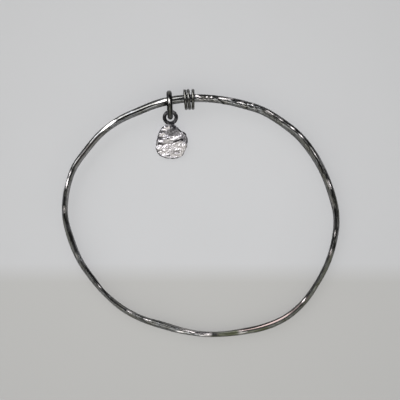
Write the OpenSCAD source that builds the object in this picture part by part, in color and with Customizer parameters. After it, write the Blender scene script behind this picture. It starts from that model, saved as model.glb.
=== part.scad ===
// A hand-forged silver bangle that lies on its side, with a charm on a jump ring
// and a few small rings beside it. Millimetres, +Z up, the floor at z = 0.

/* [Hoop] */
// Length of the opening that the hand goes through
opening_length = 68.5; // [60:0.5:80]
// Breadth of the opening that the hand goes through
opening_breadth = 59.2; // [50:0.5:72]
// Thickness of the forged wire, from the inside of the hoop to the outside
wire_thick = 2; // [1.6:0.05:2.4]
// Height of the forged wire, along the axis of the hoop
wire_height = 2.8; // [2.4:0.05:3.2]
// Squareness of the wire's section: 2 is an oval, 4 a bar with rounded edges
wire_squareness = 2.4; // [2.1:0.1:4]

/* [Hammer marks] */
// Flats that the hammer leaves on the wire
flat_count = 120; // [20:1:160]
// Depth that the hammer takes off at the middle of its deepest flat
flat_depth = 0.16; // [0:0.01:0.2]
// Radius of the hammer's domed face
hammer_radius = 34; // [15:1:80]

/* [Chased stretch] */
// Turn at which the chased stretch ends, away from the small rings
chased_from = 64; // [55:1:70]
// Turn at which the chased stretch begins, beside the small rings
chased_to = 93; // [86:1:94]
// Depth of the deepest chased groove
groove_depth = 0.26; // [0:0.01:0.3]
// Width of a chased groove
groove_width = 0.9; // [0.4:0.05:1.2]
// Length of hoop over which a groove crosses the wire
groove_lean = 1.7; // [0:0.1:4]

/* [Jump ring] */
// Outer diameter of the jump ring
jump_d = 7.6; // [7.5:0.1:9]
// Thickness of the jump ring's wire
jump_wire = 1.45; // [0.8:0.05:1.5]
// Turn round the hoop at which the jump ring stands
jump_turn = 105.3; // [102:0.1:112]
// Distance that the jump ring's middle lies to the charm's side of the wire's middle
jump_offset = 1.1; // [0:0.05:1.15]
// Lean of the jump ring, seen from above
jump_lean = 3; // [0:0.5:6]

/* [Small rings] */
// Number of small rings
small_count = 3; // [1:1:4]
// Thickness of a small ring's wire
small_wire = 0.8; // [0.5:0.05:1]
// Distance along the hoop from the jump ring to the first small ring
small_from = 4.05; // [3:0.05:6]
// Lean of every small ring but the last one
small_lean = 5; // [0:0.5:10]
// Distance that a small ring's middle lies inward of the wire's middle
small_offset = 0.26; // [0:0.02:0.4]
// Distance that a small ring hangs below the wire's middle
small_drop = 0.4; // [0:0.02:0.6]

/* [Charm] */
// Width of the charm's disc
charm_width = 8.1; // [6:0.1:10]
// Length of the charm's disc
charm_length = 9.15; // [6:0.05:11]
// Thickness of the charm's disc
charm_thick = 1.25; // [0.9:0.05:1.6]
// Height of the melted ripples on the charm's face
ripple = 0.3; // [0:0.02:0.4]
// Outer diameter of the ring soldered to the charm's top
bail_d = 4; // [3.8:0.05:4.4]
// Thickness of that ring's wire
bail_wire = 0.95; // [0.6:0.05:1.05]
// Length of the solder seam between that ring and the disc
seam_length = 2; // [1:0.1:2.4]
// Angle below the jump ring's side at which the charm hangs on it
charm_climb = 15; // [10:1:30]
// Distance that the disc's middle lies to the right of its ring's middle
charm_side = 0.35; // [0:0.05:0.6]

/* [Fit] */
// Space kept between two pieces that rest on each other
clearance = 0.07; // [0.04:0.01:0.12]

/* [Hidden] */
small_names = [for (i = [1:small_count]) str("small_ring_", i)];
$fn = 64;

// Steps of the meshed surfaces
chased_steps = 52;
plain_steps = 166;
section_steps = 16;
spoke_steps = 48;

// How the hammer's flats vary. The golden angle keeps them out of line, and the beats
// are turns from one flat to the next in the waves that set its place and its depth.
golden_turn = 137.5;
flat_scatter = 0.4;
flat_least = 0.2;
place_beat = 97;
depth_beat = 61;

// The hoop's outline, a row for every 10 degrees, counter-clockwise from the right.
// INSIDE is the inner edge as a share of a plain oval, THICK a share of wire_thick.
INSIDE = 0;
THICK = 1;
outline = [
    [0.994, 0.84],
    [0.973, 0.95],
    [0.970, 0.95],
    [0.974, 1.04],
    [0.985, 1.07],
    [0.989, 1.06],
    [0.998, 1.07],
    [0.992, 1.08],
    [0.996, 1.00],
    [0.999, 1.02],
    [1.002, 1.06],
    [1.004, 1.08],
    [1.002, 1.02],
    [1.016, 0.95],
    [1.022, 0.88],
    [1.017, 0.87],
    [1.026, 0.84],
    [1.016, 0.81],
    [1.004, 0.78],
    [0.977, 0.86],
    [0.968, 0.80],
    [0.960, 0.77],
    [0.968, 0.70],
    [0.973, 0.78],
    [0.971, 0.81],
    [0.961, 0.93],
    [0.978, 0.82],
    [1.000, 0.72],
    [1.013, 0.71],
    [1.024, 0.82],
    [1.045, 0.89],
    [1.060, 0.84],
    [1.049, 0.79],
    [1.027, 0.72],
    [1.011, 0.75],
    [1.001, 0.75],
];

// The chased grooves: PLACE is a share of the chased stretch, DEEP one of groove_depth
PLACE = 0;
DEEP = 1;
grooves = [
    [0.03, 1.00],
    [0.14, 0.80],
    [0.31, 0.55],
    [0.54, 0.65],
    [0.67, 1.00],
    [0.78, 0.90],
    [0.87, 0.70],
    [0.97, 1.00],
];

// The charm's edge as a share of a plain oval, a row for every 12 degrees,
// counter-clockwise from the right
EDGE = 0;
charm_edge = [
    [1.00],
    [1.01],
    [0.99],
    [0.94],
    [0.83],
    [0.84],
    [0.93],
    [0.98],
    [1.00],
    [1.04],
    [1.00],
    [0.97],
    [0.95],
    [0.93],
    [0.94],
    [0.96],
    [1.01],
    [1.08],
    [1.11],
    [1.12],
    [1.08],
    [1.03],
    [1.00],
    [1.01],
    [1.03],
    [1.06],
    [1.04],
    [1.00],
    [1.00],
    [1.00],
];

// Rings of points on the charm's two faces: OUT is a share of the way to the edge,
// HIGH one of half the thickness
OUT = 0;
HIGH = 1;
face_rings = [
    [0.10, 1.00],
    [0.22, 1.00],
    [0.34, 1.00],
    [0.46, 1.00],
    [0.57, 1.00],
    [0.67, 1.00],
    [0.76, 1.00],
    [0.84, 0.99],
    [0.91, 0.95],
    [0.96, 0.85],
    [0.99, 0.68],
];
back_rings = [
    [0.30, 1.00],
    [0.60, 1.00],
    [0.84, 0.98],
    [0.94, 0.88],
    [0.99, 0.66],
];
edge_high = 0.4;

// Waves of the melted face, which run up to the right over a wider swell. UP and SIDE
// are a wave's degrees over the disc's length and width, BEND is how far its crests
// wander, and PART its share of the height.
UP = 0;
SIDE = 1;
BEND = 2;
PART = 3;
waves = [
    [380, 210, 30, 0.42],
    [900, -420, 70, 0.34],
    [1500, -240, 90, 0.24],
];

function power(value, exponent) = sign(value) * pow(abs(value), exponent);

// A smooth value between the rows of a table that goes once round
function smooth(table, column, turn) =
    let (
        count = len(table),
        at = turn * count / 360,
        i = floor(at),
        f = at - i,
        a = table[(i - 1 + 2 * count) % count][column],
        b = table[(i + 2 * count) % count][column],
        c = table[(i + 1 + 2 * count) % count][column],
        d = table[(i + 2 + 2 * count) % count][column]
    )
    b + f * (c - a + f * (2 * a - 5 * b + 4 * c - d + f * (3 * (b - c) + d - a))) / 2;

function oval(turn, half_x, half_y) = 1 / norm([cos(turn) / half_x, sin(turn) / half_y]);

// The hoop, seen from above before it is laid down: the wire's middle line, its half
// thickness and the way out of the hoop
half_height = wire_height / 2;

function half_thick(turn) = smooth(outline, THICK, turn) * wire_thick / 2;

function reach(turn) =
    oval(turn, opening_length / 2, opening_breadth / 2) * smooth(outline, INSIDE, turn)
    + half_thick(turn);

function middle(turn) = reach(turn) * [cos(turn), sin(turn)];

function outward(turn) =
    let (along = middle(turn + 0.5) - middle(turn - 0.5))
    [along[1], -along[0]] / norm(along);

// The difference of two turns, from -180 to 180
function turn_gap(a, b) = (a - b + 900) % 360 - 180;

// Length along the hoop from one turn to another
function along(from, to) = turn_gap(to, from) * PI / 180 * reach(to);

// A point on the edge of the wire's section, outward and up from the wire's middle
function section(angle, half_u) = [
    half_u * power(cos(angle), 2 / wire_squareness),
    half_height * power(sin(angle), 2 / wire_squareness)
];

// How far the section reaches in a direction
function support(way, half_u) =
    let (q = wire_squareness / (wire_squareness - 1))
    pow(pow(half_u * abs(way[0]), q) + pow(half_height * abs(way[1]), q), 1 / q);

// The hammer's flats: SPOT is the turn, FACE the way it faces in the section, and
// SHARE its depth as a share of flat_depth
SPOT = 0;
FACE = 1;
SHARE = 2;
flats = [
    for (k = [0:flat_count - 1])
    [
        (k + flat_scatter * sin(k * place_beat)) * 360 / flat_count,
        k * golden_turn % 360,
        flat_least + (1 - flat_least) * (1 + sin(k * depth_beat)) / 2
    ]
];
flat_reach = sqrt(2 * hammer_radius * flat_depth);

// The flats that a section meets, each as a direction and the distance of its plane
WAY = 0;
PLANE = 1;
function flats_at(turn) = [
    for (f = flats)
    let (away = along(f[SPOT], turn))
    if (abs(away) < flat_reach)
    let (way = [cos(f[FACE]), sin(f[FACE])])
    [
        way,
        support(way, half_thick(turn)) - flat_depth * f[SHARE]
            + away * away / (2 * hammer_radius)
    ]
];

function hammered(p, met) =
    let (
        over = [for (f = met) max(0, p * f[WAY] - f[PLANE])],
        most = max(concat([0], over))
    )
    most == 0 ? p : p - most * [for (i = [0:len(met) - 1]) if (over[i] == most) met[i][WAY]][0];

// Depth of the chased grooves at a point of the section
function groove_cut(turn, angle) =
    groove_depth * max([
        for (g = grooves)
        let (
            spot = chased_from + g[PLACE] * (chased_to - chased_from),
            away = along(spot, turn) - groove_lean / 2 * cos(angle)
        )
        g[DEEP] * max(0, 1 - abs(away) * 2 / groove_width)
    ]);

function chased(p, turn, angle) = p * (1 - groove_cut(turn, angle) / norm(p));

function wire_section(turn) =
    let (met = flats_at(turn))
    [
        for (j = [0:section_steps - 1])
        let (angle = (j + 0.5) * 360 / section_steps)
        chased(hammered(section(angle, half_thick(turn)), met), turn, angle)
    ];

margin_turn = 2;
fine_from = chased_from - margin_turn;
fine_turn = chased_to - chased_from + 2 * margin_turn;
stations = concat(
    [for (i = [0:chased_steps - 1]) fine_from + i * fine_turn / chased_steps],
    [
        for (i = [0:plain_steps - 1])
        fine_from + fine_turn + i * (360 - fine_turn) / plain_steps
    ]
);

// How the hoop lies: the jump ring under it lifts it at jump_turn, and the far side
// rests on the floor
jump_way = [cos(jump_turn), sin(jump_turn)];
far_reach = max([for (turn = stations) -middle(turn) * jump_way]);
jump_inner = jump_d / 2 - jump_wire - clearance;
jump_skew = outward(jump_turn)[1];
jump_side = min(jump_offset, jump_inner - half_thick(jump_turn) / jump_skew - clearance);
wire_z = max([
    for (j = [0:section_steps * 4 - 1])
    let (
        p = section(j * 90 / section_steps, half_thick(jump_turn)),
        across = p[0] / jump_skew + jump_side
    )
    jump_d / 2 - sqrt(max(0, jump_inner * jump_inner - across * across)) - p[1]
]);
tilt = asin((wire_z - half_height) / (reach(jump_turn) + far_reach));
lift = sin(tilt) * far_reach + cos(tilt) * half_height;

// A point of the hoop once it is laid down
function laid(p) =
    let (
        away = [p[0], p[1]] * jump_way,
        shift = away * (cos(tilt) - 1) - p[2] * sin(tilt)
    )
    [
        p[0] + shift * jump_way[0],
        p[1] + shift * jump_way[1],
        lift + away * sin(tilt) + p[2] * cos(tilt)
    ];

function wire_at(turn) = laid([middle(turn)[0], middle(turn)[1], 0]);

// The turn at which the top stretch of the hoop passes a given x
top_from = 45;
top_to = 135;
halvings = 18;
function turn_at(x, low = top_from, high = top_to, steps = halvings) =
    let (half = (low + high) / 2)
    steps == 0 ? half
    : wire_at(half)[0] > x ? turn_at(x, half, high, steps - 1)
    : turn_at(x, low, half, steps - 1);

// The jump ring stands upright on the floor
jump_mid = (jump_d - jump_wire) / 2;
jump_at = wire_at(jump_turn) + [0, -jump_side, jump_d / 2 - wire_at(jump_turn)[2]];

// The small rings hang on the wire or stand on the floor, whichever is higher
small_turn = turn_at(jump_at[0] + small_from);
small_inner = clearance + max([
    for (j = [0:section_steps * 4 - 1])
    norm(section(j * 90 / section_steps, half_thick(small_turn)) + [small_offset, small_drop])
]);
small_outer = small_inner + small_wire;
small_mid = small_inner + small_wire / 2;
small_step = (small_wire + clearance) / cos(small_lean);

function small_x(i) =
    jump_at[0] + small_from + (i - 1) * small_step
    + (i == small_count && i > 1 ? small_mid * sin(small_lean) : 0);

function small_at(i) =
    let (wire = wire_at(turn_at(small_x(i))))
    [small_x(i), wire[1] - small_offset, max(small_outer, wire[2] - small_drop)];

// The charm hangs on the jump ring's lower quarter and leans on the floor. Its own
// frame has the ring's middle as its origin and the disc along -Y.
bail_mid = (bail_d - bail_wire) / 2;
bail_play = bail_mid - (bail_wire + jump_wire) / 2 / cos(charm_climb) - clearance;
seam_sink = 0.25;
disc_y = -bail_d / 2 + seam_sink - smooth(charm_edge, EDGE, 90) * charm_length / 2;

function edge_at(turn) =
    smooth(charm_edge, EDGE, turn) * oval(turn, charm_width / 2, charm_length / 2);

// Height of the melted face at a place on the disc, from about -1 to 1
function ripples(x, y) =
    let (u = x / charm_width, v = y / charm_length)
    [
        for (w = waves)
        w[PART] * sin(w[UP] * v + w[SIDE] * u + w[BEND] * sin((w[UP] * u - w[SIDE] * v) / 2))
    ] * [for (w = waves) 1];

function disc_point(turn, out, high, side) =
    let (
        x = out * edge_at(turn) * cos(turn),
        y = out * edge_at(turn) * sin(turn),
        relief = side > 0 ? ripple * ripples(x, y) * (1 - pow(out, 4)) / 2 : 0
    )
    [x + charm_side, y + disc_y, side * high * charm_thick / 2 + relief];

function disc_row(out, high, side) =
    [for (j = [0:spoke_steps - 1]) disc_point(j * 360 / spoke_steps, out, high, side)];

disc_rows = concat(
    [for (r = face_rings) disc_row(r[OUT], r[HIGH], 1)],
    [disc_row(1, edge_high, 1), disc_row(1, edge_high, -1)],
    [for (i = [len(back_rings) - 1:-1:0]) disc_row(back_rings[i][OUT], back_rings[i][HIGH], -1)]
);
disc_points = [for (row = disc_rows) each row];

function bail_at(lean) = jump_at + [
    jump_mid * cos(charm_climb) * sin(jump_lean),
    -jump_mid * cos(charm_climb) * cos(jump_lean) - bail_play * cos(lean),
    -jump_mid * sin(charm_climb) - bail_play * sin(lean)
];

function lowest(lean) = bail_at(lean)[2]
    + min([for (p = disc_points) p[1] * sin(lean) + p[2] * cos(lean)]);

// The lean at which the disc's far edge meets the floor
steepest = 45;
function charm_lean(low = 0, high = steepest, steps = halvings) =
    let (half = (low + high) / 2)
    steps == 0 ? half
    : lowest(half) > 0 ? charm_lean(half, high, steps - 1)
    : charm_lean(low, half, steps - 1);

// The part's box is centred on the origin
hoop_rim = [
    for (turn = stations)
    let (p = middle(turn) + outward(turn) * half_thick(turn))
    laid([p[0], p[1], 0])
];
rim_x = [for (p = hoop_rim) p[0]];
rim_y = [for (p = hoop_rim) p[1]];
top_y = max(
    max(rim_y),
    jump_at[1] + jump_d / 2,
    max([for (i = [1:small_count]) small_at(i)[1] + small_outer])
);
centre = [(min(rim_x) + max(rim_x)) / 2, (min(rim_y) + top_y) / 2, 0];

// Triangles between neighbouring rows of points, each row a closed round
function bands(rows, columns, closed) = [
    for (i = [0:rows - (closed ? 1 : 2)])
    for (j = [0:columns - 1])
    let (
        next = (i + 1) % rows,
        a = i * columns + j,
        b = i * columns + (j + 1) % columns,
        c = next * columns + (j + 1) % columns,
        d = next * columns + j
    )
    each [[a, b, c], [a, c, d]]
];

module round_ring(mid, wire) {
    rotate_extrude()
    translate([mid, 0])
    circle(d = wire);
}

module hoop() {
    points = [
        for (turn = stations)
        let (at = middle(turn), way = outward(turn))
        for (p = wire_section(turn))
        laid([at[0] + way[0] * p[0], at[1] + way[1] * p[0], p[1]])
    ];
    color([0.34, 0.35, 0.37])
    translate(-centre)
    polyhedron(points, bands(len(stations), section_steps, true), convexity = 8);
}

module jump_ring() {
    color([0.24, 0.25, 0.27])
    translate(jump_at - centre)
    rotate([0, 0, jump_lean])
    rotate([0, 90, 0])
    round_ring(jump_mid, jump_wire);
}

module small_ring(i) {
    color([0.3, 0.31, 0.33])
    translate(small_at(i) - centre)
    rotate([0, 0, i < small_count ? small_lean : 0])
    rotate([0, 90, 0])
    round_ring(small_mid, small_wire);
}

module charm_disc() {
    rows = len(disc_rows);
    front = len(disc_points);
    back = front + 1;
    last_row = (rows - 1) * spoke_steps;
    caps = [
        for (j = [0:spoke_steps - 1])
        let (next = (j + 1) % spoke_steps)
        each [[front, next, j], [back, last_row + j, last_row + next]]
    ];
    middle_front = disc_point(0, 0, 1, 1);
    middle_back = disc_point(0, 0, 1, -1);
    polyhedron(
        concat(disc_points, [middle_front, middle_back]),
        concat(bands(rows, spoke_steps, false), caps),
        convexity = 6
    );
}

module charm() {
    lean = charm_lean();
    color([0.8, 0.8, 0.82])
    translate(bail_at(lean) - centre)
    rotate([lean, 0, 0]) {
        charm_disc();
        round_ring(bail_mid, bail_wire);
        translate([0, -bail_mid - bail_wire / 2, 0])
        rotate([0, 90, 0])
        cylinder(d = bail_wire, h = seam_length, center = true);
    }
}

hoop();
jump_ring();
charm();
for (i = [1:small_count]) {
    small_ring(i);
}
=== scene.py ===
"""A hand-forged silver bangle with a melted charm, dressed and lit on a pale table.

Metres in the frame, +Z up. Sizes in the classes are millimetres, as a maker gives them.
"""

import logging
import math
from collections.abc import Iterator
from contextlib import contextmanager
from dataclasses import dataclass
from enum import Enum

import bpy
import numpy as np
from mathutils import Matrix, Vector


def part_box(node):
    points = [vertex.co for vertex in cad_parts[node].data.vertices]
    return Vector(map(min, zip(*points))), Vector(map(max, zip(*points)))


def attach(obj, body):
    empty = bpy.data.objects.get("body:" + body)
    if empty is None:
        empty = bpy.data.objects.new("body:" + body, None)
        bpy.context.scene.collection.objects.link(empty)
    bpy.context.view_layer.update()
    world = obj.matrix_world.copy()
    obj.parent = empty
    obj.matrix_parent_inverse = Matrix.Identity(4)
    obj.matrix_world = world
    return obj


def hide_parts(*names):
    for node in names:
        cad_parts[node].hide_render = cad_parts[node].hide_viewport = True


LOG = logging.getLogger("bangle")
MM = 0.001
Colour = tuple[float, float, float]
Socket = bpy.types.NodeSocket
Span = tuple[float, float]
# A stroke's burr, in shares of its depth and of its half width, and its tone's soft edge
BURR_HEIGHT = 0.2
BURR_PLACE = 1.15
BURR_SPREAD = 0.08
TINT_EDGE = (1.2, 0.6)
# Millimetres, more than any mark is wide: how far a mark counts from the wire's lower half
OUT_OF_REACH = 9.0
NOISE_ROUGHNESS = 0.55

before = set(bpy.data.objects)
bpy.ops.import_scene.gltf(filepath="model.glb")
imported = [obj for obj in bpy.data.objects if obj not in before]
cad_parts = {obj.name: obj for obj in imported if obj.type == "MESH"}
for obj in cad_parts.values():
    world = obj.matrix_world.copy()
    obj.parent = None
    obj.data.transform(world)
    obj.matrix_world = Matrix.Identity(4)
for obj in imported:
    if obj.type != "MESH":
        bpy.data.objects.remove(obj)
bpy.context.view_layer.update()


class Slot(Enum):
    """The record's material slots."""

    FORGED = "forged_silver"
    CHARM = "charm_silver"
    RING = "ring_silver"


class Tone(Enum):
    """How the silver was left, and its painted light and shade, each kept as a number on the piece's
    points.
    """

    # Dark: oxide, and painted shade and painted dark reflections
    DARK = "oxide_and_painted_dark"
    # Bright: painted highlights, partly polish where the silver stands proud
    BRIGHT = "painted_bright"
    OLIVE = "olive_stain"
    # Rose: the painted pink of warm reflections
    ROSE = "painted_rose_reflection"
    SMOOTH = "burnished"


# Bench: small helpers shared by every piece


def deselect() -> None:
    """Leaves nothing selected and no active object."""
    for thing in bpy.context.selected_objects:
        thing.select_set(False)
    bpy.context.view_layer.objects.active = None


def take(obj: bpy.types.Object) -> None:
    """Selects one object alone and makes it active."""
    deselect()
    obj.select_set(True)
    bpy.context.view_layer.objects.active = obj


@contextmanager
def editing(obj: bpy.types.Object) -> Iterator[None]:
    """Edit mode on one object, with its whole mesh selected.

    Args:
        obj: the mesh object to edit.
    """
    take(obj)
    bpy.ops.object.mode_set(mode="EDIT")
    bpy.ops.mesh.select_all(action="SELECT")
    yield
    bpy.ops.object.mode_set(mode="OBJECT")


def read_points(obj: bpy.types.Object) -> np.ndarray:
    """The mesh's points in millimetres, one row each."""
    flat = np.empty(len(obj.data.vertices) * 3)
    obj.data.vertices.foreach_get("co", flat)
    return flat.reshape(-1, 3) / MM


def write_points(obj: bpy.types.Object, points: np.ndarray) -> None:
    """Puts the mesh's points at new places, given in millimetres."""
    obj.data.vertices.foreach_set("co", (points * MM).ravel())
    obj.data.update()


def read_normals(obj: bpy.types.Object) -> np.ndarray:
    """The way the surface faces at each point, one row each."""
    flat = np.empty(len(obj.data.vertices) * 3)
    obj.data.vertex_normals.foreach_get("vector", flat)
    return flat.reshape(-1, 3)


def write_place(obj: bpy.types.Object, name: str, places: np.ndarray) -> None:
    """Stores a place on the wire for each point, for patterns that follow the wire.

    Args:
        obj: the mesh object.
        name: the attribute's name, which its finish reads.
        places: one row of three numbers for each point.
    """
    store = obj.data.attributes.new(name, "FLOAT_VECTOR", "POINT")
    store.data.foreach_set("vector", places.astype(np.float32).ravel())


def step(values: np.ndarray, low: float, high: float) -> np.ndarray:
    """A smooth rise from 0 at low to 1 at high; low may lie above high.

    Args:
        values: the numbers to judge.
        low: where the rise starts.
        high: where it ends.

    Returns:
        A share from 0 to 1 for each value.
    """
    share = np.clip((values - low) / (high - low), 0, 1)
    return share * share * (3 - 2 * share)


def off_line(places: np.ndarray, start: np.ndarray, end: np.ndarray) -> np.ndarray:
    """How far each place lies from a line between two points.

    Args:
        places: one row of two numbers for each place.
        start: the line's first point, or one for each place.
        end: the line's last point, or one for each place.

    Returns:
        The distance for each place.
    """
    run = end - start
    share = ((places - start) * run).sum(-1) / np.maximum((run * run).sum(-1), 1e-9)
    return np.linalg.norm(places - start - run * np.clip(share, 0, 1)[:, None], axis=1)


class Skin:
    """The tones of one piece's points, gathered mark by mark."""

    def __init__(self, count: int) -> None:
        """Starts with no tone anywhere on the points."""
        self.tones = {tone: np.zeros(count) for tone in Tone}

    def lay(self, tone: Tone, amounts: np.ndarray) -> None:
        """Lays a tone over what is there; where both lie, the stronger one stays."""
        self.tones[tone] = np.maximum(self.tones[tone], amounts)

    def write(self, obj: bpy.types.Object) -> None:
        """Stores the tones on the piece's points, for its finish to read."""
        for tone, amounts in self.tones.items():
            store = obj.data.attributes.new(tone.value, "FLOAT", "POINT")
            store.data.foreach_set("value", np.clip(amounts, 0, 1).astype(np.float32))


@dataclass(frozen=True)
class Mark:
    """A stroke from one place to another.

    On the hoop a place is a turn in degrees and a share of the way across, from -1 inside to 1
    outside. On the charm it is x and y in millimetres from its ring's middle. The amount is the
    strength of a tone, or the depth of a cut in millimetres, negative for a raised ridge.
    """

    from_along: float
    from_across: float
    to_along: float
    to_across: float
    width: float
    amount: float = 1.0

    def ends(self) -> tuple[np.ndarray, np.ndarray]:
        """Its first and its last place."""
        first, last = (self.from_along, self.from_across), (self.to_along, self.to_across)
        return np.array(first), np.array(last)

    def carve(self, off: np.ndarray) -> np.ndarray:
        """The depth that the stroke takes off, with a low burr thrown up at its sides.

        Args:
            off: distance of each point from the stroke, in millimetres.

        Returns:
            The depth at each point.
        """
        share = off / (self.width / 2)
        cut = np.clip(1 - share * share, 0, 1) ** 2
        burr = BURR_HEIGHT * np.exp(-((share - BURR_PLACE) ** 2) / BURR_SPREAD)
        return (cut - burr) * self.amount

    def tint(self, off: np.ndarray) -> np.ndarray:
        """The strength of the stroke's tone at each distance from it."""
        return step(off / (self.width / 2), *TINT_EDGE) * self.amount


def strokes(*rows: tuple[float, ...]) -> tuple[Mark, ...]:
    """Marks from rows of numbers, each in the order of a mark's fields."""
    return tuple(Mark(*row) for row in rows)


def finish_piece(obj: bpy.types.Object, node: str) -> None:
    """Smooths a finished piece's shading and puts it on the part.

    Args:
        obj: the finished piece.
        node: the CAD node it stands for.
    """
    with editing(obj):
        bpy.ops.mesh.normals_make_consistent(inside=False)
    take(obj)
    bpy.ops.object.shade_smooth()
    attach(obj, "root")
    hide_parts(node)
    LOG.info("%s: %d points, %d faces", obj.name, len(obj.data.vertices), len(obj.data.polygons))


# Finishes


class Nodes:
    """A node tree with short calls to add and join its nodes."""

    def __init__(self, tree: bpy.types.NodeTree) -> None:
        """Starts from an empty tree."""
        self.tree = tree
        self.tree.nodes.clear()

    def add(self, kind: str, **settings: object) -> bpy.types.Node:
        """Adds a node and sets its properties.

        Args:
            kind: the node's type name.
            **settings: properties of the node.

        Returns:
            The new node.
        """
        node = self.tree.nodes.new(kind)
        for key, value in settings.items():
            setattr(node, key, value)
        return node

    def join(self, source: Socket, target: Socket) -> None:
        """Links one socket to another."""
        self.tree.links.new(source, target)

    def place(self) -> Socket:
        """The place on the piece, in its own coordinates."""
        return self.add("ShaderNodeTexCoord").outputs["Object"]

    def stored(self, name: str, kind: str = "Fac") -> Socket:
        """What is stored on the piece's points under a name: a number, or a Vector."""
        return self.add("ShaderNodeAttribute", attribute_name=name).outputs[kind]

    def drawn_out(self, place: Socket, times: float, turn: float) -> Socket:
        """A place that makes a pattern longer one way.

        Args:
            place: the place to read from.
            times: how many times longer.
            turn: degrees from x towards y of the long way.

        Returns:
            The new place.
        """
        mapping = self.add("ShaderNodeMapping", vector_type="TEXTURE")
        mapping.inputs["Rotation"].default_value = (0, 0, math.radians(turn))
        mapping.inputs["Scale"].default_value = (times, 1, 1)
        self.join(place, mapping.inputs["Vector"])
        return mapping.outputs["Vector"]

    def noise(self, place: Socket, scale: float, detail: float) -> Socket:
        """Soft noise from 0 to 1.

        Args:
            place: where it is read.
            scale: how many waves it has to a unit.
            detail: how many finer layers it has.

        Returns:
            The noise's value.
        """
        node = self.add("ShaderNodeTexNoise")
        node.inputs["Scale"].default_value = scale
        node.inputs["Detail"].default_value = detail
        node.inputs["Roughness"].default_value = NOISE_ROUGHNESS
        self.join(place, node.inputs["Vector"])
        return node.outputs["Fac"]

    def ranged(self, value: Socket, low: float, high: float, a: float = 0.0, b: float = 1.0) -> Socket:
        """A value's range laid over another range, and held inside it.

        Args:
            value: the value to read.
            low: the input that gives a.
            high: the input that gives b.
            a: the output at low.
            b: the output at high.

        Returns:
            The new value.
        """
        node = self.add("ShaderNodeMapRange")
        for key, number in zip(("From Min", "From Max", "To Min", "To Max"), (low, high, a, b)):
            node.inputs[key].default_value = number
        self.join(value, node.inputs["Value"])
        return node.outputs["Result"]

    def times(self, a: Socket, b: Socket) -> Socket:
        """One value times another, held between 0 and 1."""
        node = self.add("ShaderNodeMath", operation="MULTIPLY", use_clamp=True)
        self.join(a, node.inputs[0])
        self.join(b, node.inputs[1])
        return node.outputs[0]

    def blended(self, share: Socket, a: Socket | Colour | float, b: Colour | float) -> Socket:
        """A colour or a number laid over another.

        Args:
            share: 0 gives a and 1 gives b.
            a: what lies below.
            b: what lies over it.

        Returns:
            The blend.
        """
        colours = isinstance(b, tuple)
        node = self.add("ShaderNodeMix", data_type="RGBA" if colours else "FLOAT")
        first, result = (6, 2) if colours else (2, 0)
        self.join(share, node.inputs[0])
        for side, value in zip(node.inputs[first : first + 2], (a, b)):
            if isinstance(value, Socket):
                self.join(value, side)
            else:
                side.default_value = (*value, 1) if colours else value
        return node.outputs[result]

    def bump(self, height: Socket, depth: float, below: Socket | None = None) -> Socket:
        """Fine relief.

        Args:
            height: the relief from 0 to 1.
            depth: its depth in millimetres.
            below: coarser relief it lies on, if any.

        Returns:
            The bent normal.
        """
        node = self.add("ShaderNodeBump")
        node.inputs["Distance"].default_value = depth * MM
        self.join(height, node.inputs["Height"])
        if below is not None:
            self.join(below, node.inputs["Normal"])
        return node.outputs["Normal"]


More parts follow.
